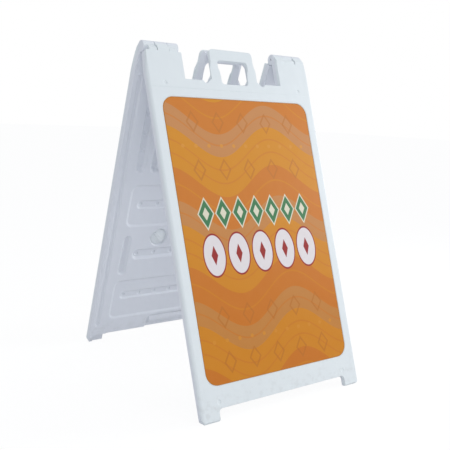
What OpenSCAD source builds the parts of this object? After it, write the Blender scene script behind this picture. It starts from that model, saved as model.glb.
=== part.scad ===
// Folding a-frame pavement sign: two identical hollow moulded panels on two hinge pins.
// Each panel is drawn in its own frame, with X across the panel, Y up along it from the
// hinge axis and Z out of its printed face. The rear panel is the front one turned half
// round the upright axis. The origin is on the ground, midway between the four feet.

/* [Panel] */
// Width of a panel
panel_w = 635; // [560:1:760]
// Length of a panel from the hinge axis down to the ground, along its inner face
panel_l = 1126; // [1100:1:1300]
// Thickness of a panel
panel_t = 27; // [25:0.5:34]
// Angle of each panel to the upright when the sign stands open
lean = 20.3; // [14:0.1:26]
// Wall of the hollow moulding
skin = 3; // [2:0.1:3.6]
// Gap between each inner face and the fold plane
fold_gap = 0.4; // [0.3:0.1:1.5]
// Rounding of a panel's long edges on its printed side
face_round = 7; // [3:0.5:9]
// Rounding of a panel's long edges on its inner side
back_round = 4; // [2:0.5:6]
// Slope of the side walls away from their parting line, in degrees
side_draft = 4; // [0.5:0.5:6]

/* [Towers and hinge] */
// Width of a hinge tower, at its foot
tower_w = 130; // [110:1:140]
// How far the outer edge of a tower leans in at its top
tower_taper = 8; // [2:1:20]
// Distance from the hinge axis down to the start of that lean
taper_drop = 92; // [60:1:120]
// Distance from the hinge axis down to the top of a tower
tower_drop = 20.5; // [19:0.5:26]
// Radius of a hinge knuckle
knuckle_r = 17; // [12:0.5:18]
// Width of the middle knuckle of each tower
knuckle_mid_w = 42; // [30:1:56]
// Side gap between two knuckles
knuckle_gap = 1; // [0.8:0.1:3]
// Rounding of a knuckle's ends
knuckle_round = 2.5; // [1:0.5:6]
// Distance from the hinge axis down to where a knuckle's hood meets the printed face
hood_drop = 12; // [4:0.5:18]
// Radius of a hinge pin
pin_r = 4; // [3:0.5:6]
// Radial clearance of a hinge pin
pin_fit = 0.08; // [0.03:0.01:0.1]
// Wall that closes the outer end of a pin's bore
pin_stop = 6; // [3:0.5:12]
// How far a pin lies inside the inner end of its bore
pin_set = 3; // [1:0.5:8]
// How far a stop heel stays behind the printed face of the tower that it stops against
heel_step = 1.5; // [1:0.5:8]
// Gap between a stop heel and the tower that it stops against
heel_gap = 0.3; // [0.2:0.05:1]
// Length of open notch beside a heel, at each side of a tower
heel_set = 13; // [6:1:20]

/* [Carrying handle] */
// Distance from the hinge axis down to the notches beside the handle
notch_drop = 102; // [90:1:112]
// Distance from the hinge axis down to the top of the handle, below zero where it stands above
handle_drop = -2; // [-6:0.5:10]
// Half width of the handle at its shoulders
handle_half = 84; // [74:1:90]
// Half width of the handle at its foot
handle_foot_half = 90; // [85:1:100]
// Half width of the flare where the handle joins the panel
handle_flare_half = 98; // [92:1:104]
// Height of the handle's top bar
handle_bar_h = 35; // [26:1:40]
// Half width of the hand opening at its top
grip_half = 58; // [48:1:60]
// Half width of the hand opening at its waist
grip_waist_half = 54; // [44:1:56]
// Width of the handle's posts and bar where the two handles meet
grip_ridge = 5; // [3:0.5:12]
// Distance from the hinge axis down to the foot of the hand opening
grip_foot_drop = 110; // [100:1:114]
// Radius of the handle's outer corners
handle_corner_r = 14; // [6:1:20]
// Radius of the hand opening's corners
grip_corner_r = 10; // [5:1:15]
// Radius of the dips beside the handle
dip_r = 11; // [6:1:14]

/* [Feet] */
// Distance from the hinge axis down to the edge between the feet
bottom_drop = 1097; // [1080:1:1098]
// Width of a foot
foot_w = 62; // [50:1:90]
// Radius of the fillet between a foot and the bottom edge
foot_fillet_r = 12; // [4:1:20]
// Bevel on the outer corner of a foot
foot_bevel = 8; // [2:1:14]
// Depth of a foot's flat sole, out from the fold plane
sole_depth = 20; // [16:0.5:23]
// Rise of the bevel from the sole to the printed face
toe_rise = 8; // [3:0.5:12]
// Width of the rim that stays whole on the inner side of a foot
foot_rim_w = 16; // [10:1:24]
// Depth of the relief on the inner side of a foot
foot_relief = 9; // [4:0.5:12]
// Radius of the round mark on the side of a foot
foot_mark_r = 7; // [3:0.5:9]

/* [Printed face] */
// Plain border between a panel's sides and the printed sheet
sheet_border = 35; // [26:1:70]
// Height of the printed sheet
sheet_h = 870; // [700:1:890]
// Distance from the hinge axis down to the printed sheet
sheet_drop = 160; // [150:1:170]
// Corner radius of the printed sheet
sheet_corner_r = 40; // [15:1:60]
// Thickness of the printed sheet
sheet_t = 1; // [0.5:0.1:1.5]
// Depth of the recess that holds the sheet
recess_depth = 2; // [1.6:0.1:3]
// Clearance round the sheet in its recess
recess_gap = 1.5; // [0.5:0.1:3]
// Distance from the hinge axis down to the line across the head
head_line_drop = 132; // [120:1:140]
// Width of the line across the head
head_line_w = 1.2; // [1:0.1:4]
// Depth of the line across the head
head_line_depth = 0.4; // [0.3:0.1:1.2]
// Radius of the round marks at the corners of the face
face_mark_r = 7; // [3:0.5:10]
// Depth of the round marks at the corners of the face
face_mark_depth = 1.6; // [0.6:0.1:2]

/* [Inner face] */
// Depth of the broad recesses
field_depth = 5; // [3:0.5:6]
// Depth of the grooves inside the broad recesses
rib_depth = 11; // [8:0.5:12]
// Depth of the grooves that stand alone
slot_depth = 9; // [6:0.5:10]
// How far the walls of the broad recesses lean in for each millimetre of depth
field_slope = 1.5; // [0.5:0.25:2]
// How far the groove walls lean in for each millimetre of depth
groove_slope = 1; // [0.5:0.25:1]
// Slope of the wall of a round mark from the upright, in degrees
mark_draft = 45; // [20:1:60]
// Radius of the kiss marks in the grooves
kiss_r = 8; // [4:0.5:9]
// Depth of the kiss marks below their groove
kiss_depth = 3; // [1:0.5:3]
// Distance along the grooves from one kiss mark to the next
kiss_pitch = 68; // [50:1:90]
// Height of the stiffening bar's roll on the bottom rail
roll_h = 38; // [28:1:44]
// Length of the stiffening bar's roll
roll_l = 200; // [120:1:300]
// Distance from the middle of the panel to the near end of the roll
roll_reach = 67; // [20:1:120]
// Depth of the relief round the roll
roll_depth = 6; // [4:0.5:10]

/* [Filler cap] */
// Distance from the middle of the panel to the filler's axis
cap_x = 102; // [80:1:130]
// Distance from the hinge axis down to the filler's axis
cap_drop = 677; // [670:1:680]
// Radius of the dish round the cap
dish_r = 36; // [33:0.5:42]
// Depth of the dish
dish_depth = 12; // [11:0.5:13]
// Gap between the cap's head and the wall of the dish
cap_gap = 0.8; // [0.5:0.1:4]
// Thickness of the cap's head at its rim
cap_t = 2.5; // [2:0.5:3]
// Rise of the cap's head from its rim to its crown
cap_rise = 5; // [2:0.5:6]
// Radius of the flat crown of the cap's head
cap_crown_r = 12; // [8:0.5:16]
// Half length of the grip bar on the cap
grip_bar_half = 25; // [18:0.5:27]
// Height of the grip bar above the crown
grip_bar_h = 1.5; // [1:0.5:1.5]
// Width of the grip bar on the cap
grip_bar_w = 13; // [8:0.5:18]
// Radius of the cap's stem
stem_r = 21.9; // [18:0.1:24]
// Radial clearance of the stem in the neck
stem_fit = 0.1; // [0.05:0.01:0.1]
// Reach of the locking lugs beyond the stem
lug_reach = 3.6; // [2:0.1:5]
// Width of a locking lug
lug_w = 9; // [6:0.5:14]
// Thickness of a locking lug
lug_t = 2.5; // [1.5:0.1:3]
// Running gap round and behind the locking lugs
lug_gap = 0.4; // [0.3:0.1:1]
// Thickness of the cap's seal
seal_t = 1.8; // [1:0.1:2.4]
// Width of the cap's seal
seal_w = 4.5; // [2.5:0.1:5]
// Gap between the seal and the dish before the cap is drawn down
seal_gap = 0.2; // [0.1:0.05:0.5]

/* [Hidden] */
$fn = 64;
// One overrun serves all cuts
cut = 5;
// Overlap of two bodies that become one
lap = 2;
hinge_h = panel_l * cos(lean);
half_w = panel_w / 2;
half_t = panel_t / 2;
tower_in = half_w - tower_w;
tower_out = half_w - tower_taper;
tower_top_w = tower_out - tower_in;
knuckle_side_w = (tower_top_w - knuckle_mid_w) / 2 - knuckle_gap;
foot_in = half_w - foot_w;
floor_reach = panel_t * tan(lean);
recess_floor = panel_t - recess_depth;
bar_foot_drop = handle_drop + handle_bar_h;
// Steps of the handle's outline, as shares of the way from its top to the notches
waist_share = 0.38;
knee_share = 0.6;
ankle_share = 0.94;
// Steps of the hand opening's outline, as shares of its height
grip_cheek_share = 0.34;
grip_waist_share = 0.45;
grip_hip_share = 0.72;
// How much narrower each half of the hand opening is at its hip than at its waist
hip_step = 2;
grip_hip_half = grip_waist_half - hip_step;
// The handle's posts and bar slope in from this depth to their ridge
ridge_depth = 21.6;
ridge_slope = 0.625;
ridge_corner_r = 20;
ridge_rise = 6;
ridge_foot_rise = 4;
ridge_post_x = 71;
// Size of the open space beside and above the handle that the slopes run out into
ridge_space = 60;
// Middle of the dips beside the handle: from the panel's middle, and above the notch floor
dip_x = handle_flare_half + dip_r + lap;
dip_rise = 3;
// Places down the panel of the pockets' middles, and the pockets' sizes
upper_field_border = 68.5;
upper_field_drop = 544;
upper_field_w = panel_w - 2 * upper_field_border;
upper_field_h = 165;
lower_field_border = 67.5;
lower_field_drop = 942;
lower_field_w = panel_w - 2 * lower_field_border;
lower_field_h = 176;
field_corner_r = 28;
upper_rib_drop = 541;
lower_rib_drop = 927;
rib_border = 96.5;
rib_w = panel_w - 2 * rib_border;
rib_h = 44;
slot_drop = 744;
cross_slot_border = 117.5;
cross_slot_w = panel_w - 2 * cross_slot_border;
side_slot_border = 87.5;
side_slot_x = half_w - side_slot_border;
side_slot_w = 33;
side_slot_h = 167;
channel_top_drop = 134;
channel_end_drop = 417;
channel_w = 38;
channel_border = 85.5;
channel_x = half_w - channel_border;
channel_step = 55;
rim_channel_border = 26.5;
rim_channel_x = half_w - rim_channel_border;
rim_channel_w = 19;
rim_channel_top_drop = 81;
rim_channel_end_drop = 1057;
rim_channel_depth = 4;
roll_relief_gap = 14;
roll_relief_w = roll_l + 2 * roll_relief_gap;
roll_relief_drop = 1040;
roll_relief_corner_r = 24;
roll_drop = 1065;
centre_mark_drop = 818;
centre_mark_r = 6;
centre_mark_depth = 3;
// Places of the round marks on the printed side
upper_mark_border = 56.5;
upper_mark_x = half_w - upper_mark_border;
upper_mark_drop = 118;
lower_mark_border = 65.5;
lower_mark_x = half_w - lower_mark_border;
lower_mark_drop = 1077;
foot_mark_rise = 16;
foot_mark_depth = 1.5;
// Wall kept at the panel's rounded sides, round the cavity
side_wall = skin * 2;
cavity_floor = fold_gap + skin;
cavity_roof = recess_floor - skin;
cavity_head_drop = grip_foot_drop + skin;
// The roll is a low arc, so its radius follows from its height and its rise
roll_rise = roll_depth - fold_gap;
roll_r = (roll_h * roll_h / 4 + roll_rise * roll_rise) / (2 * roll_rise);
// Places of the cap's levels, out from the fold plane
dish_floor = fold_gap + dish_depth;
seal_floor = dish_floor - seal_gap;
cap_seat = seal_floor - seal_t;
cap_rim = cap_seat - cap_t;
cap_crown = cap_rim - cap_rise;
dish_slope = 0.625;
cap_rim_r = dish_r - cap_gap - (cap_rim - fold_gap) * dish_slope;
cap_foot_r = cap_rim_r - cap_t * dish_slope;
neck_back = dish_floor + skin;
lug_front = neck_back + lug_gap;
lug_back = lug_front + lug_t;
neck_r = stem_r + stem_fit;
grip_bar_turn = 45;

sheet_w = panel_w - 2 * sheet_border;
sheet_mid_drop = sheet_drop + sheet_h / 2;
white = [0.86, 0.89, 0.92];

// Puts what is drawn in a panel's frame where the front panel stands
module place_front() {
    translate([0, 0, hinge_h]) rotate([90 - lean, 0, 0]) children();
}

// Puts what is drawn in a panel's frame where the rear panel stands
module place_rear() {
    rotate([0, 0, 180]) place_front() children();
}

// Puts what is drawn in the other panel's frame into this panel's frame, at the open pose
module in_other_panel() {
    rotate([lean - 90, 0, 0]) rotate([0, 0, 180]) rotate([90 - lean, 0, 0]) children();
}

// A flat outline in Y and Z drawn along X, from one place to another
module along_x(from_x, to_x) {
    translate([from_x, 0, 0]) rotate([90, 0, 90]) linear_extrude(to_x - from_x) children();
}

module both_sides() {
    children();
    mirror([1, 0, 0]) children();
}

module round_rect(w, h, r) {
    square([w, h - 2 * r], center = true);
    square([w - 2 * r, h], center = true);
    for (x = [r - w / 2, w / 2 - r], y = [r - h / 2, h / 2 - r])
        translate([x, y]) circle(r);
}

// A round cornered pocket in the inner face, whose walls slope in as it gets deeper.
// With grow it is the skin that stands round the same pocket.
module pocket(x, drop, w, h, r, depth, slope, grow) {
    out = cut * slope;
    in = (depth + grow) * slope;
    wide = w / 2 + grow;
    tall = h / 2 + grow;
    corner = r + grow;
    top = depth + grow;
    translate([x, -drop, fold_gap]) {
        for (cx = wide > corner ? [corner - wide, wide - corner] : [0],
                cy = tall > corner ? [corner - tall, tall - corner] : [0])
            translate([cx, cy, -cut]) cylinder(h = top + cut, r1 = corner + out, r2 = corner - in);
        if (wide > corner)
            along_x(corner - wide, wide - corner)
                polygon([[-tall - out, -cut], [tall + out, -cut], [tall - in, top], [in - tall, top]]);
        if (tall > corner)
            rotate([90, 0, 0]) linear_extrude(2 * (tall - corner), center = true)
                polygon([[-wide - out, -cut], [wide + out, -cut], [wide - in, top], [in - wide, top]]);
    }
}

// A round mark sunk in the inner face
module inner_mark(x, drop, r, from_depth, depth, grow) {
    slope = tan(mark_draft);
    reach = depth + grow;
    translate([x, -drop, fold_gap + from_depth])
        cylinder(h = reach, r1 = r + grow, r2 = max(r + grow - reach * slope, skin / 2));
}

// Equal steps about the middle of a run, no further apart than the kiss marks' pitch allows
function kiss_places(run) = let (count = floor(run / kiss_pitch + 0.5))
    [for (i = [0 : count]) run * (i / count - 1 / 2)];

module ribs(grow) {
    rib_run = rib_w - rib_h;
    slot_run = cross_slot_w - rib_h;
    for (drop = [upper_rib_drop, lower_rib_drop]) {
        pocket(0, drop, rib_w, rib_h, rib_h / 2, rib_depth, groove_slope, grow);
        for (x = kiss_places(rib_run))
            inner_mark(x, drop, kiss_r, rib_depth, kiss_depth, grow);
    }
    pocket(0, slot_drop, cross_slot_w, rib_h, rib_h / 2, slot_depth, groove_slope, grow);
    for (x = kiss_places(slot_run))
        inner_mark(x, slot_drop, kiss_r, slot_depth, kiss_depth, grow);
}

module channels(grow) {
    length = channel_end_drop - channel_top_drop;
    middle = (channel_end_drop + channel_top_drop) / 2;
    for (x = [channel_x, channel_x - channel_step]) {
        pocket(x, middle, channel_w, length, channel_w / 2, slot_depth, groove_slope, grow);
        for (y = kiss_places(length - channel_w))
            inner_mark(x, middle + y, kiss_r, slot_depth, kiss_depth, grow);
    }
    pocket(rim_channel_x, (rim_channel_top_drop + rim_channel_end_drop) / 2, rim_channel_w,
        rim_channel_end_drop - rim_channel_top_drop, rim_channel_w / 2, rim_channel_depth,
        groove_slope, grow);
    pocket(side_slot_x, slot_drop, side_slot_w, side_slot_h, side_slot_w / 2, slot_depth,
        groove_slope, grow);
}

module foot_reliefs(grow) {
    inner = foot_in - cut;
    outer = half_w - foot_rim_w;
    translate([inner, -panel_l - cut - floor_reach, fold_gap - cut])
        cube([outer - inner + grow, panel_l + cut + floor_reach - bottom_drop - lap + grow,
            foot_relief + cut + grow]);
}

// Everything that is pressed into the inner face
module inner_pockets(grow) {
    pocket(0, upper_field_drop, upper_field_w, upper_field_h, field_corner_r, field_depth,
        field_slope, grow);
    pocket(0, lower_field_drop, lower_field_w, lower_field_h, field_corner_r, field_depth,
        field_slope, grow);
    ribs(grow);
    both_sides() channels(grow);
    both_sides() foot_reliefs(grow);
    pocket(roll_reach - roll_l / 2, (roll_relief_drop + panel_l) / 2, roll_relief_w,
        panel_l - roll_relief_drop, roll_relief_corner_r, roll_depth, groove_slope, grow);
    pocket(cap_x, cap_drop, 2 * dish_r, 2 * dish_r, dish_r, dish_depth, dish_slope, grow);
    inner_mark(0, centre_mark_drop, centre_mark_r, 0, centre_mark_depth, grow);
}

module tower_outline() {
    polygon([[tower_in, -notch_drop - lap], [tower_in, -tower_drop], [tower_out, -tower_drop],
        [half_w, -taper_drop], [half_w, -notch_drop - lap]]);
}

module handle_outline() {
    run = notch_drop - handle_drop;
    polygon([[0, -handle_drop], [handle_half - handle_corner_r, -handle_drop],
        [handle_half, -handle_drop - handle_corner_r], [handle_half, -handle_drop - run * waist_share],
        [handle_foot_half, -handle_drop - run * knee_share],
        [handle_foot_half, -handle_drop - run * ankle_share], [handle_flare_half, -notch_drop],
        [handle_flare_half, -notch_drop - lap], [0, -notch_drop - lap]]);
    translate([handle_half - handle_corner_r, -handle_drop - handle_corner_r]) circle(handle_corner_r);
}

module grip_outline() {
    run = grip_foot_drop - bar_foot_drop;
    polygon([[-lap, -bar_foot_drop], [grip_half - grip_corner_r, -bar_foot_drop],
        [grip_half, -bar_foot_drop - grip_corner_r], [grip_half, -bar_foot_drop - run * grip_cheek_share],
        [grip_waist_half, -bar_foot_drop - run * grip_waist_share],
        [grip_hip_half, -bar_foot_drop - run * grip_hip_share],
        [grip_hip_half, -grip_foot_drop + grip_corner_r],
        [grip_hip_half - grip_corner_r, -grip_foot_drop], [-lap, -grip_foot_drop]]);
    translate([grip_half - grip_corner_r, -bar_foot_drop - grip_corner_r]) circle(grip_corner_r);
    translate([grip_hip_half - grip_corner_r, -grip_foot_drop + grip_corner_r]) circle(grip_corner_r);
}

module foot_outline() {
    end = panel_l + floor_reach + cut;
    difference() {
        translate([foot_in - foot_fillet_r, -bottom_drop - foot_fillet_r])
            square([foot_fillet_r + lap, foot_fillet_r + lap]);
        translate([foot_in - foot_fillet_r, -bottom_drop - foot_fillet_r]) circle(foot_fillet_r);
    }
    polygon([[foot_in, -bottom_drop + lap], [foot_in, -end], [half_w - foot_bevel - cut, -end],
        [half_w, foot_bevel - panel_l], [half_w, -bottom_drop + lap]]);
}

// The handle's posts and bar slope away from their outer face on every side, down to a
// narrow ridge at the fold plane
module handle_slopes() {
    post_in = ridge_post_x - grip_ridge / 2;
    post_out = ridge_post_x + grip_ridge / 2;
    open_top = bar_foot_drop - ridge_rise;
    open_foot = grip_foot_drop - ridge_foot_rise;
    pocket(0, (open_top + open_foot) / 2, 2 * post_in, open_foot - open_top, ridge_corner_r,
        ridge_depth, ridge_slope, 0);
    both_sides()
        pocket(post_out + ridge_space / 2, (notch_drop - ridge_rise - ridge_space) / 2, ridge_space,
            notch_drop - ridge_rise + ridge_space, ridge_corner_r, ridge_depth, ridge_slope, 0);
    pocket(0, handle_drop + ridge_rise - ridge_space / 2, 2 * (handle_half + ridge_corner_r),
        ridge_space, ridge_corner_r, ridge_depth, ridge_slope, 0);
}

module panel_outline() {
    difference() {
        union() {
            translate([-half_w, -bottom_drop]) square([panel_w, bottom_drop - notch_drop]);
            both_sides() {
                tower_outline();
                handle_outline();
                foot_outline();
            }
        }
        both_sides() {
            grip_outline();
            translate([dip_x, dip_rise - notch_drop]) circle(dip_r);
        }
    }
}

// Section of the panel across its width: walls that slope from a parting line at half the
// thickness, run into rounded long edges
module side_section() {
    slope = tan(side_draft);
    face_x = half_w - (half_t - face_round) * slope - face_round / cos(side_draft);
    back_z = fold_gap + back_round;
    back_x = half_w - (half_t - back_z) * slope - back_round / cos(side_draft);
    both_sides() {
        polygon([[-lap, fold_gap], [back_x, fold_gap],
            [back_x + back_round * cos(side_draft), back_z - back_round * sin(side_draft)],
            [half_w, half_t],
            [face_x + face_round * cos(side_draft), panel_t - face_round + face_round * sin(side_draft)],
            [face_x, panel_t], [-lap, panel_t]]);
        translate([back_x, back_z]) circle(back_round);
        translate([face_x, panel_t - face_round]) circle(face_round);
    }
}

module panel_blank() {
    end = panel_l + floor_reach + cut;
    intersection() {
        linear_extrude(panel_t) panel_outline();
        rotate([90, 0, 0]) translate([0, 0, -knuckle_r]) linear_extrude(end + 2 * knuckle_r)
            side_section();
    }
}

module cavity() {
    depth = cavity_roof - cavity_floor;
    translate([side_wall - half_w, skin - bottom_drop, cavity_floor])
        cube([panel_w - 2 * side_wall, bottom_drop - cavity_head_drop - skin, depth]);
    both_sides() {
        translate([tower_in + skin, -cavity_head_drop - lap, cavity_floor])
            cube([tower_top_w - skin - side_wall, cavity_head_drop + lap - tower_drop - skin, depth]);
        translate([foot_in + skin, 2 * skin - panel_l, cavity_floor])
            cube([foot_w - skin - side_wall, panel_l - bottom_drop, depth]);
    }
}

// One knuckle: a barrel round the hinge axis, with a hood that runs into the panel's face
module knuckle(from_x, width) {
    a = atan2(panel_t, -hood_drop) - acos(knuckle_r / norm([panel_t, hood_drop]));
    translate([from_x, 0, 0]) rotate([90, 0, 90]) rotate_extrude() {
        square([knuckle_r - knuckle_round, width]);
        translate([0, knuckle_round]) square([knuckle_r, width - 2 * knuckle_round]);
        for (y = [knuckle_round, width - knuckle_round])
            translate([knuckle_r - knuckle_round, y]) circle(knuckle_round);
    }
    along_x(from_x + knuckle_round / 2, from_x + width - knuckle_round / 2)
        polygon([[-tower_drop - lap, fold_gap], [0, fold_gap],
            [knuckle_r * cos(a), knuckle_r * sin(a)], [-hood_drop, panel_t],
            [-tower_drop - lap, panel_t]]);
}

// The heel under a knuckle comes down on top of the other panel's tower and ends the opening.
// It carries the line of that panel's face on to the knuckle.
module heel(from_x, width) {
    foot = heel_gap - tower_drop;
    root = fold_gap + lap;
    face = panel_t - heel_step;
    in_other_panel() along_x(-from_x - width, -from_x)
        polygon([[foot, root], [0, root], [0, knuckle_r - lap], [-hood_drop, face], [foot, face]]);
}

module knuckles() {
    inner_x = tower_in;
    outer_x = tower_out - knuckle_side_w;
    middle_x = tower_in + knuckle_side_w + knuckle_gap;
    knuckle(inner_x, knuckle_side_w);
    knuckle(outer_x, knuckle_side_w);
    heel(inner_x + heel_set, knuckle_side_w - heel_set);
    heel(outer_x, knuckle_side_w - heel_set);
    mirror([1, 0, 0]) {
        knuckle(middle_x, knuckle_mid_w);
    }
    heel(-middle_x - knuckle_mid_w, knuckle_mid_w);
}

module pin_bores() {
    both_sides()
        translate([tower_in - cut, 0, 0]) rotate([0, 90, 0])
            cylinder(h = tower_top_w + cut - pin_stop, r = pin_r + pin_fit);
}

module face_marks() {
    for (place = [[upper_mark_x, upper_mark_drop], [lower_mark_x, lower_mark_drop]])
        both_sides()
            translate([place[0], -place[1], panel_t - face_mark_depth])
                cylinder(h = face_mark_depth + lap, r1 = face_mark_r - face_mark_depth,
                    r2 = face_mark_r + lap);
}

module foot_marks() {
    both_sides()
        translate([half_w - foot_mark_depth, foot_mark_rise - panel_l, half_t]) rotate([0, 90, 0])
            cylinder(h = cut, r = foot_mark_r);
}

module filler_neck() {
    translate([cap_x, -cap_drop, dish_floor - lap]) {
        cylinder(h = skin + 2 * lap, r = neck_r);
        translate([0, 0, skin / 2 + lap])
            cube([2 * (stem_r + lug_reach + lug_gap), lug_w + 2 * lug_gap, skin + 2 * lap],
                center = true);
    }
}

module stiffening_roll() {
    intersection() {
        translate([-roll_reach, -roll_drop - roll_h / 2, fold_gap])
            cube([roll_l, roll_h, roll_depth + lap]);
        translate([-roll_reach, -roll_drop, 2 * fold_gap + roll_r]) rotate([0, 90, 0])
            cylinder(h = roll_l, r = roll_r);
    }
}

// What is bevelled off the feet, from their flat sole up to the printed face
module toe_bevel() {
    end = -panel_l - floor_reach;
    along_x(-half_w - cut, half_w + cut)
        polygon([[-panel_l - sole_depth * tan(lean), sole_depth], [end + toe_rise, panel_t],
            [end + toe_rise, panel_t + cut], [end - cut, panel_t + cut], [end - cut, sole_depth]]);
}

module below_ground() {
    reach = panel_w + 2 * cut;
    rotate([lean - 90, 0, 0]) translate([-reach / 2, -panel_l, -hinge_h - panel_l])
        cube([reach, 2 * panel_l, panel_l]);
}

// One hollow panel, in its own frame
module panel() {
    color(white) difference() {
        union() {
            difference() {
                panel_blank();
                inner_pockets(0);
                handle_slopes();
            }
            knuckles();
            mirror([1, 0, 0]) stiffening_roll();
        }
        difference() {
            cavity();
            inner_pockets(skin);
        }
        pin_bores();
        below_ground();
        toe_bevel();
        translate([0, -sheet_mid_drop, recess_floor]) linear_extrude(recess_depth + cut)
            round_rect(sheet_w + 2 * recess_gap, sheet_h + 2 * recess_gap, sheet_corner_r + recess_gap);
        translate([-half_w - cut, -head_line_drop, panel_t - head_line_depth])
            cube([panel_w + 2 * cut, head_line_w, cut]);
        face_marks();
        foot_marks();
        filler_neck();
    }
}

// One printed sheet, in the panel's frame, lying on the floor of its recess
module graphic() {
    color([0.85, 0.50, 0.14]) translate([0, -sheet_mid_drop, recess_floor]) linear_extrude(sheet_t)
        round_rect(sheet_w, sheet_h, sheet_corner_r);
}

// The quarter-turn cap of the ballast cavity, with its grip bar and its two locking lugs
module filler_cap() {
    color(white) translate([cap_x, -cap_drop, 0]) {
        translate([0, 0, cap_crown]) cylinder(h = cap_rise, r1 = cap_crown_r, r2 = cap_rim_r);
        translate([0, 0, cap_rim]) cylinder(h = cap_t, r1 = cap_rim_r, r2 = cap_foot_r);
        translate([0, 0, cap_seat - lap]) cylinder(h = lug_back + lap - cap_seat, r = stem_r);
        translate([0, 0, cap_crown - grip_bar_h]) rotate([0, 0, grip_bar_turn])
            linear_extrude(grip_bar_h + cap_rise + cap_t / 2)
                round_rect(2 * grip_bar_half, grip_bar_w, grip_bar_w / 2 - lap);
        translate([-lug_w / 2, -stem_r - lug_reach, lug_front])
            cube([lug_w, 2 * (stem_r + lug_reach), lug_t]);
    }
}

// The flat ring that seals the cap's head on the dish
module cap_seal() {
    color([0.25, 0.25, 0.26]) translate([cap_x, -cap_drop, cap_seat]) difference() {
        cylinder(h = seal_t, r = neck_r + seal_w);
        translate([0, 0, -lap]) cylinder(h = seal_t + 2 * lap, r = neck_r);
    }
}

// A straight rod through the three knuckles of one tower
module hinge_pin() {
    color("silver") translate([tower_in + pin_set, 0, hinge_h]) rotate([0, 90, 0])
        cylinder(h = tower_top_w - pin_stop - pin_set - heel_gap, r = pin_r);
}

place_front() panel();  // front_panel
place_rear() panel();  // rear_panel
mirror([1, 0, 0]) hinge_pin();  // left_hinge_pin
hinge_pin();  // right_hinge_pin
place_front() graphic();  // front_graphic
place_rear() graphic();  // rear_graphic
place_front() filler_cap();  // front_filler_cap
place_rear() filler_cap();  // rear_filler_cap
place_front() cap_seal();  // front_cap_seal
place_rear() cap_seal();  // rear_cap_seal
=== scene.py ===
import bpy
import bmesh
from math import cos, pi, radians, sin
from mathutils import Matrix, Vector


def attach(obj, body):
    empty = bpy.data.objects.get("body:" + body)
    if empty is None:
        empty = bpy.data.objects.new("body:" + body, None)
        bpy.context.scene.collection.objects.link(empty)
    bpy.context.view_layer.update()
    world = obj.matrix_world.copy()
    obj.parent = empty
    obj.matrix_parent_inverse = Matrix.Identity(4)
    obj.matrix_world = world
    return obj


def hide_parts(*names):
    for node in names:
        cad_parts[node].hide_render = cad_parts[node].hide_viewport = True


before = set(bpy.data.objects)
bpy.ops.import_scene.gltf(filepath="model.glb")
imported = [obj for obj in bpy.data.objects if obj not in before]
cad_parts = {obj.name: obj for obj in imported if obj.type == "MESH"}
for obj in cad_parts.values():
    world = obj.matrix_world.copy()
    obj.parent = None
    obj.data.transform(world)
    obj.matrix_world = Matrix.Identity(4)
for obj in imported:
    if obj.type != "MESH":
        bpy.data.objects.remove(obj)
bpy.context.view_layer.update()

# The camera: it stands about two metres off, to the left of the sign and a little
# above its middle, with the picture shifted up as a shop photograph is.
turn, dip, tilt = radians(35.64), radians(14.65), radians(2.5)
camera_place = (-1.27086, -1.81256, 0.87007)
picture_width, focal_length = 450, 646.4
sight_x, sight_y = 222.9, 283.3
sensor_width = 36
sight = Vector((sin(turn) * cos(dip), cos(turn) * cos(dip), -sin(dip)))
level = Vector((cos(turn), -sin(turn), 0))
rise = level.cross(sight)
across = level * cos(tilt) + rise * sin(tilt)
upward = rise * cos(tilt) - level * sin(tilt)
lens = bpy.data.cameras.new("camera")
lens.sensor_width = sensor_width
lens.lens = focal_length * sensor_width / picture_width
lens.shift_x = (picture_width / 2 - sight_x) / picture_width
lens.shift_y = (sight_y - picture_width / 2) / picture_width
camera = bpy.data.objects.new("camera", lens)
camera.matrix_world = Matrix.Translation(camera_place) @ Matrix(
    (across, upward, -sight)).transposed().to_4x4()
bpy.context.scene.collection.objects.link(camera)
bpy.context.scene.camera = camera
bpy.context.scene.view_settings.view_transform = "Standard"

# The studio: a white sweep and a white room round it, with broad lamps before the sign,
# behind the camera, to the sign's right and above it, as for a catalogue picture.
floor_reach = 30
paper_colour, paper_roughness = (0.8, 0.8, 0.81, 1), 0.9
shine_strength, shine_share = 1.06, 0.86
plain_white = (1, 1, 1, 1)
room_colour, room_strength = (0.94, 0.98, 1.04, 1), 0.64
lamp_aim = Vector((0, 0, 0.5))
# Each lamp's name, place, width and power.
lamps = (
    ("key", (1.6, -3.2, 2.6), 2.4, 4),
    ("front", (-1.6, -2.5, 1.1), 1.1, 9),
    ("side", (2.6, -0.9, 1.35), 1.0, 30),
    ("top", (0.3, 0.2, 3.2), 1.4, 6),
)


class Wire:
    """One output of a shader node, which can be used in sums as a number is."""

    def __init__(self, finish, socket):
        self.finish, self.socket = finish, socket

    def maths(self, operation, *values):
        return self.finish.maths(operation, *values)

    def __add__(self, other):
        return self.maths("ADD", self, other)

    def __sub__(self, other):
        return self.maths("SUBTRACT", self, other)

    def __mul__(self, other):
        return self.maths("MULTIPLY", self, other)

    def __truediv__(self, other):
        return self.maths("DIVIDE", self, other)

    def __rsub__(self, other):
        return self.maths("SUBTRACT", other, self)

    def __neg__(self):
        return self.maths("MULTIPLY", self, -1.0)

    def __abs__(self):
        return self.maths("ABSOLUTE", self)

    def __mod__(self, other):
        return self.maths("FLOORED_MODULO", self, other)

    __radd__, __rmul__ = __add__, __mul__


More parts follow.
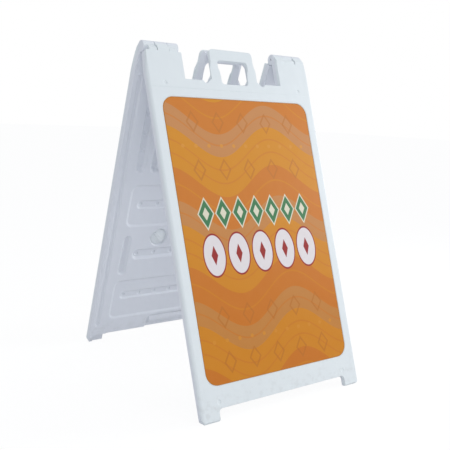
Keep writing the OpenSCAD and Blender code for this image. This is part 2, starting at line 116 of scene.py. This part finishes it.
class Finish:
    """A material and its nodes, with the wires that its patterns start from."""

    def __init__(self, name):
        self.material = bpy.data.materials.new(name)
        self.material.use_nodes = True
        self.nodes = self.material.node_tree.nodes
        self.links = self.material.node_tree.links
        self.surface = self.nodes["Principled BSDF"]
        self.place = self.add("ShaderNodeTexCoord", {}, {}, "Object")

    def add(self, kind, settings, inputs, output=0):
        """A new node, with its settings made first and then its sockets fed."""
        node = self.nodes.new(kind)
        for key, value in settings.items():
            setattr(node, key, value)
        for key, value in inputs.items():
            self.feed(node.inputs[key], value)
        return Wire(self, node.outputs[output])

    def feed(self, socket, value):
        if isinstance(value, Wire):
            self.links.new(value.socket, socket)
        else:
            socket.default_value = value

    def maths(self, operation, *values):
        return self.add("ShaderNodeMath", {"operation": operation}, dict(enumerate(values)))

    def noise(self, size, detail, at=None):
        """Noise of about one value every size metres, from 0 to 1."""
        return self.add("ShaderNodeTexNoise", {},
            {"Vector": at or self.place, "Scale": 1 / size, "Detail": detail})

    def split(self, at):
        """The three parts of a place."""
        parts = self.add("ShaderNodeSeparateXYZ", {}, {0: at}).socket.node.outputs
        return [Wire(self, part) for part in parts]

    def join(self, x, y, z):
        return self.add("ShaderNodeCombineXYZ", {}, {0: x, 1: y, 2: z})

    def ease(self, value, low, high):
        """0 below low, 1 above high, and smooth between them."""
        return self.add("ShaderNodeMapRange", {"interpolation_type": "SMOOTHSTEP"},
            {"Value": value, "From Min": low, "From Max": high})

    def spread(self, value, low, high):
        """A value from 0 to 1 laid out evenly between low and high."""
        return self.add("ShaderNodeMapRange", {}, {"Value": value, "To Min": low, "To Max": high})

    def mix(self, share, first, second, blend="MIX"):
        """Two colours mixed. A Mix node has its colours on sockets 6, 7 and 2."""
        return self.add("ShaderNodeMix", {"data_type": "RGBA", "blend_type": blend},
            {0: share, 6: first, 7: second}, 2)

    def length(self, x, y):
        return self.add("ShaderNodeVectorMath", {"operation": "LENGTH"}, {0: self.join(x, y, 0)}, 1)

    def set(self, **inputs):
        for key, value in inputs.items():
            self.feed(self.surface.inputs[key.replace("_", " ")], value)

    def bump(self, height, distance, under=None):
        inputs = {"Height": height, "Distance": distance, "Strength": 1.0}
        if under:
            inputs["Normal"] = under
        return self.add("ShaderNodeBump", {}, inputs)


floor_mesh = bpy.data.meshes.new("floor")
sweep = bmesh.new()
bmesh.ops.create_grid(sweep, x_segments=1, y_segments=1, size=floor_reach)
sweep.to_mesh(floor_mesh)
sweep.free()
floor = bpy.data.objects.new("floor", floor_mesh)
bpy.context.scene.collection.objects.link(floor)
paper = Finish("studio_paper")
paper.set(Base_Color=paper_colour, Roughness=paper_roughness)
shine = paper.add("ShaderNodeEmission", {}, {"Color": plain_white, "Strength": shine_strength})
seen = paper.add("ShaderNodeLightPath", {}, {}, "Is Camera Ray")
sheen = paper.add("ShaderNodeMixShader", {},
    {0: seen * shine_share, 1: Wire(paper, paper.surface.outputs[0]), 2: shine})
paper.feed(paper.nodes["Material Output"].inputs["Surface"], sheen)
floor_mesh.materials.append(paper.material)

room = bpy.data.worlds.new("room")
room.use_nodes = True
bpy.context.scene.world = room
walls = room.node_tree
looked_at = walls.nodes.new("ShaderNodeLightPath")
glow = walls.nodes["Background"]
glow.inputs["Color"].default_value = room_colour
glow.inputs["Strength"].default_value = room_strength
white = walls.nodes.new("ShaderNodeBackground")
white.inputs["Color"].default_value = plain_white
choice = walls.nodes.new("ShaderNodeMixShader")
walls.links.new(looked_at.outputs["Is Camera Ray"], choice.inputs[0])
walls.links.new(glow.outputs[0], choice.inputs[1])
walls.links.new(white.outputs[0], choice.inputs[2])
walls.links.new(choice.outputs[0], walls.nodes["World Output"].inputs["Surface"])

for name, place, width, power in lamps:
    lamp = bpy.data.lights.new(name, "AREA")
    lamp.size = width
    lamp.energy = power
    holder = bpy.data.objects.new(name, lamp)
    holder.matrix_world = Matrix.Translation(place) @ (
        lamp_aim - Vector(place)).to_track_quat("-Z", "Y").to_matrix().to_4x4()
    bpy.context.scene.collection.objects.link(holder)

# Two hollow panels, blow-moulded in white polyethylene. Their edges are soft, their
# skin has a fine grain, and a parting line runs round their sides at half thickness.
# The inner faces carry painted shade: a darker, bluer tone than the outer faces.
lean = radians(20.3)
panel_length, panel_thickness = 1.126, 0.027
axis_height = panel_length * cos(lean)
head_line_drop, head_line_clear = 0.132, 0.004
head_line_height = axis_height - head_line_drop * cos(lean) + panel_thickness * sin(lean)
panel_edge_radius, panel_edge_angle, edge_segments = 0.0021, radians(25), 3
merge_gap, flat_angle = 1e-6, radians(0.5)
broad_width = 0.008
# Where the mould's edges are sharp: the knuckles, the feet and the towers above them,
# and the slopes of the handle on the inner side.
knuckle_bottom, knuckle_side = axis_height - 0.026, 0.15
foot_top, tower_bottom, foot_side = 0.035, 0.955, 0.3
handle_bottom, handle_side, handle_slope_out = 0.94, 0.11, 0.02
# Where they are less round: by the small marks of the outer face, and on the ribs' and
# channels' floors, between the wall below them and the face above.
mark_side_low, mark_side_high, mark_out, mark_share = 0.243, 0.270, 0.024, 0.4
groove_out, groove_share, floor_out, floor_share, face_share = 0.009, 1, 0.017, 0.4, 0.7
outer_dull, outer_bright = (0.815, 0.868, 0.882, 1), (0.845, 0.893, 0.905, 1)
# The inner colours are painted shade: darker, bluer copies of the outer colours, for the shaded
# insides of the panels.
inner_shade_dull, inner_shade_bright = (0.80, 0.825, 0.875, 1), (0.83, 0.85, 0.895, 1)
shade_full_out, shade_end_out = 0.012, 0.02
dust_colour, dust_share = (0.62, 0.64, 0.64, 1), 0.35
dust_above, dust_full, dust_thin, dust_thick = 0.98, 1.13, 0.48, 0.7
# The size and the detail of each of the skin's patterns.
cloud_size, patch_size, grain_size, wave_size = 0.16, 0.02, 0.0011, 0.045
cloud_detail, patch_detail, grain_detail, wave_detail = 3, 4, 2, 1
grain_depth, wave_depth, seam_depth = 0.00006, 0.0012, 0.00012
seam_edge, seam_middle = 0.0007, 0.0002
plastic_smooth, plastic_rough, plastic_specular = 0.36, 0.5, 0.45


def panel_places(finish):
    """Distance across, down a panel from the hinge axis, and out from its inner face."""
    x, y, z = finish.split(finish.place)
    below = axis_height - z
    out = abs(y)
    return x, out * sin(lean) + below * cos(lean), out * cos(lean) - below * sin(lean)


def moulded(node, name, radius, sharp, softness):
    """A copy of a node's surface in one skin. Its edges sharper than sharp are rounded by the
    share of radius that softness gives at their middle. Broad flat faces stay flat."""
    mesh = bpy.data.meshes.new(name)
    skin = bmesh.new()
    skin.from_mesh(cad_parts[node].data)
    bmesh.ops.remove_doubles(skin, verts=skin.verts, dist=merge_gap)
    bmesh.ops.dissolve_limit(skin, angle_limit=flat_angle, verts=skin.verts, edges=skin.edges)
    weight = skin.edges.layers.float.new("bevel_weight_edge")
    for edge in skin.edges:
        angle = edge.calc_face_angle(0)
        share = softness((edge.verts[0].co + edge.verts[1].co) / 2)
        if angle > sharp and share:
            edge[weight] = share
        elif angle > sharp or (angle > flat_angle and all(
                face.calc_area() > broad_width * max(side.calc_length() for side in face.edges)
                for face in edge.link_faces)):
            edge.smooth = False
    for face in skin.faces:
        face.smooth = True
    skin.to_mesh(mesh)
    skin.free()
    piece = bpy.data.objects.new(name, mesh)
    bpy.context.scene.collection.objects.link(piece)
    edges = piece.modifiers.new("edges", "BEVEL")
    edges.width = radius
    edges.segments = edge_segments
    edges.limit_method = "WEIGHT"
    edges.use_clamp_overlap = False
    flats = piece.modifiers.new("flats", "WEIGHTED_NORMAL")
    flats.keep_sharp = True
    return piece


def panel_softness(at):
    """None where the mould's edges are sharp, full at the grooves of the inner face, and
    less on their floors, at the outer edges and at the small marks."""
    aside = abs(at.x)
    out = abs(at.y) * cos(lean) - (axis_height - at.z) * sin(lean)
    at_knuckles = at.z > knuckle_bottom and aside > knuckle_side
    at_head_line = abs(at.z - head_line_height) < head_line_clear
    at_foot_or_tower = (at.z < foot_top or at.z > tower_bottom) and aside > foot_side
    at_handle = at.z > handle_bottom and aside < handle_side and out < handle_slope_out
    if at_knuckles or at_head_line or at_foot_or_tower or at_handle:
        return 0
    if mark_side_low < aside < mark_side_high and out > mark_out:
        return mark_share
    return groove_share if out < groove_out else floor_share if out < floor_out else face_share


plastic = Finish("panel_plastic")
_, down, out = panel_places(plastic)
cloud = plastic.noise(cloud_size, cloud_detail)
patch = plastic.noise(patch_size, patch_detail)
grain = plastic.noise(grain_size, grain_detail)
wave = plastic.noise(wave_size, wave_detail)
seam = plastic.ease(abs(out - panel_thickness / 2), seam_edge, seam_middle)
dust = plastic.ease(down, dust_above, dust_full) * plastic.ease(patch, dust_thin, dust_thick)
# Painted shade: from partway across the side walls to the inner face, the skin takes the darker, bluer
# inner colours.
skin_colour_with_shade = plastic.mix(plastic.ease(out, shade_end_out, shade_full_out),
    plastic.mix(cloud, outer_dull, outer_bright), plastic.mix(cloud, inner_shade_dull, inner_shade_bright))
skin_colour_with_shade = plastic.mix(dust * dust_share, skin_colour_with_shade, dust_colour)
relief = plastic.bump(wave, wave_depth, under=plastic.bump(seam, seam_depth))
plastic.set(Base_Color=skin_colour_with_shade, Roughness=plastic.spread(patch, plastic_smooth, plastic_rough),
    Specular_IOR_Level=plastic_specular, Normal=plastic.bump(grain, grain_depth, under=relief))
for side in ("front", "rear"):
    panel = moulded(
        side + "_panel", side + "_moulding", panel_edge_radius, panel_edge_angle, panel_softness)
    panel.data.materials.append(plastic.material)
    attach(panel, side)
    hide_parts(side + "_panel")

# Two printed sheets of thin plastic, stuck into the recesses of the outer faces. They carry
# waved bands in amber, orange and clay, under rows of plain lozenges, dots and ovals.
sheet_half_w, sheet_half_h, sheet_corner, sheet_middle = 0.2825, 0.435, 0.04, 0.595
swell_height, swell_pitch, band_pitch, band_edge = 0.05, 0.40, 0.30, 0.004
orange_from, clay_from = 0.42, 0.76
line_half, line_core, line_share = 0.011, 0.007, 0.6
# How far below the sheet's middle each row lies.
outline_rows, dot_rows, leaf_row, oval_row = (-0.36, -0.21, 0.24, 0.375), (-0.285, 0.31), -0.075, 0.053
amber, orange, clay = (0.73, 0.300, 0.030, 1), (0.68, 0.225, 0.038, 1), (0.63, 0.285, 0.110, 1)
# The thin lines' places in a band, as shares of its height, and their colours.
lines = ((0.14, orange), (0.28, orange), (0.59, amber), (0.88, orange))
rust, honey, border_brown = (0.56, 0.19, 0.04, 1), (0.76, 0.34, 0.06, 1), (0.52, 0.20, 0.02, 1)
leaf, cream = (0.035, 0.22, 0.10, 1), (0.80, 0.78, 0.62, 1)
oval_white, wine = (0.84, 0.80, 0.82, 1), (0.34, 0.02, 0.03, 1)
foot_shade, mottle_colour = (0.90, 0.80, 0.42, 1), (0.75, 0.36, 0.10, 1)
outline_half, outline_share, dot_share = 0.0034, 0.6, 0.8
leaf_border, leaf_eye, oval_border, sheet_border = 0.0045, -0.014, 0.0035, 0.0022
mottle_size, mottle_detail, mottle_share = 0.03, 4, 0.10
press_edge, row_end = 0.0006, 0.006
ink_roughness, ink_specular, shade_reach = 0.38, 0.25, 0.45
tooth_size, tooth_detail, tooth_depth = 0.0007, 2, 0.00003
ripple_size, ripple_detail, ripple_depth = 0.07, 1, 0.0009
printed = Finish("printed_sheet")
x, down, _ = panel_places(printed)
down = down - sheet_middle
swell = printed.maths("SINE", x * (2 * pi / swell_pitch)) * swell_height
band = (down + swell) / band_pitch % 1.0
ink = printed.mix(printed.ease(band, orange_from, orange_from + band_edge), amber, orange)
ink = printed.mix(printed.ease(band, clay_from, clay_from + band_edge), ink, clay)
ink = printed.mix(printed.ease(band, band_edge, 0), ink, clay)
for middle, colour in lines:
    line = printed.ease(abs(band - middle), line_half, line_core)
    ink = printed.mix(line * line_share, ink, colour)


def beads(middle, pitch, count, half_w, half_h, oval=False):
    """Distance outside a row of lozenges or ovals across the sheet."""
    step = (x / pitch + count / 2) % 1.0 - 0.5
    step = abs(step) * pitch / half_w
    rise = abs(down - middle) / half_h
    inside = printed.length(step, rise) if oval else step + rise
    ends = abs(x) - pitch * count / 2 + row_end
    return printed.maths("MAXIMUM", (inside - 1) * half_w, ends)


def stamp(ink, distance, edge, colour, share=1.0):
    """Ink with a colour laid where distance is under edge."""
    laid = printed.ease(distance, edge + press_edge, edge - press_edge)
    return printed.mix(laid * share, ink, colour)


for middle in outline_rows:
    outline = abs(beads(middle, pitch=0.094, count=5, half_w=0.020, half_h=0.030))
    ink = stamp(ink, outline, outline_half, rust, outline_share)
for middle in dot_rows:
    dots = beads(middle, pitch=0.047, count=11, half_w=0.006, half_h=0.006, oval=True)
    ink = stamp(ink, dots, 0, honey, dot_share)
shade = printed.mix(printed.ease(down, -shade_reach, shade_reach), plain_white, foot_shade)
ink = printed.mix(1.0, ink, shade, "MULTIPLY")
leaves = beads(leaf_row, pitch=0.064, count=7, half_w=0.026, half_h=0.044)
ink = stamp(ink, leaves, leaf_border, cream)
ink = stamp(ink, leaves, 0, leaf)
ink = stamp(ink, leaves, leaf_eye, cream)
ovals = beads(oval_row, pitch=0.092, count=5, half_w=0.038, half_h=0.062, oval=True)
ink = stamp(ink, ovals, oval_border, wine)
ink = stamp(ink, ovals, 0, oval_white)
seeds = beads(oval_row, pitch=0.092, count=5, half_w=0.012, half_h=0.030)
ink = stamp(ink, seeds, 0, wine)
past_side = printed.maths("MAXIMUM", abs(x) - (sheet_half_w - sheet_corner), 0.0)
past_end = printed.maths("MAXIMUM", abs(down) - (sheet_half_h - sheet_corner), 0.0)
ink = stamp(ink, -(printed.length(past_side, past_end) - sheet_corner), sheet_border, border_brown)
ink = printed.mix(printed.noise(mottle_size, mottle_detail) * mottle_share, ink, mottle_colour)
ripple = printed.bump(printed.noise(ripple_size, ripple_detail), ripple_depth)
printed.set(Base_Color=ink, Roughness=ink_roughness, Specular_IOR_Level=ink_specular,
    Normal=printed.bump(printed.noise(tooth_size, tooth_detail), tooth_depth, under=ripple))
for side in ("front", "rear"):
    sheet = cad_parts[side + "_graphic"]
    sheet.data.materials.clear()
    sheet.data.materials.append(printed.material)

# Two filler caps of the same plastic, moulded with a low coned head and a bar across it
# to turn them by. Each locks in its panel's neck with a quarter turn.
cap_edge_radius, cap_edge_angle = 0.0005, radians(40)
cap_dull, cap_bright = (0.84, 0.88, 0.90, 1), (0.86, 0.90, 0.91, 1)
cap_cloud_size, cap_cloud_detail, cap_roughness = 0.02, 3, 0.4
cap_grain_size, cap_grain_detail, cap_grain_depth = 0.0009, 2, 0.00005
cap_plastic = Finish("cap_plastic")
cap_cloud = cap_plastic.noise(cap_cloud_size, cap_cloud_detail)
cap_grain = cap_plastic.noise(cap_grain_size, cap_grain_detail)
cap_plastic.set(Base_Color=cap_plastic.mix(cap_cloud, cap_dull, cap_bright),
    Roughness=cap_roughness, Normal=cap_plastic.bump(cap_grain, cap_grain_depth))
for side in ("front", "rear"):
    cap = moulded(
        side + "_filler_cap", side + "_cap", cap_edge_radius, cap_edge_angle, lambda at: 1)
    cap.data.materials.append(cap_plastic.material)
    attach(cap, side + "_cap")
    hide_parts(side + "_filler_cap")

# Two flat sealing rings, cut from black rubber. Each lies between its cap's head
# and the floor of the dish round the neck.
rubber_colour, rubber_roughness = (0.03, 0.03, 0.032, 1), 0.7
rubber_grain_size, rubber_grain_detail, rubber_grain_depth = 0.0006, 2, 0.00004
rubber = Finish("seal_rubber")
rubber_grain = rubber.noise(rubber_grain_size, rubber_grain_detail)
rubber.set(Base_Color=rubber_colour, Roughness=rubber_roughness,
    Normal=rubber.bump(rubber_grain, rubber_grain_depth))
for side in ("front", "rear"):
    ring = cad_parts[side + "_cap_seal"]
    ring.data.materials.clear()
    ring.data.materials.append(rubber.material)

# Two plain steel rods, drawn and cut off, which the knuckles turn on. The drawing
# leaves fine lines along them.
steel_dull, steel_bright, steel_roughness = (0.50, 0.50, 0.51, 1), (0.62, 0.62, 0.63, 1), 0.34
drawn_size, drawn_detail, drawn_stretch, drawn_depth = 0.0004, 2, 0.03, 0.00003
steel = Finish("pin_steel")
x, y, z = steel.split(steel.place)
drawn = steel.noise(drawn_size, drawn_detail, at=steel.join(x * drawn_stretch, y, z))
steel.set(Base_Color=steel.mix(drawn, steel_dull, steel_bright), Metallic=1.0,
    Roughness=steel_roughness, Normal=steel.bump(drawn, drawn_depth))
for side in ("left", "right"):
    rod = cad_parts[side + "_hinge_pin"]
    rod.data.materials.clear()
    rod.data.materials.append(steel.material)
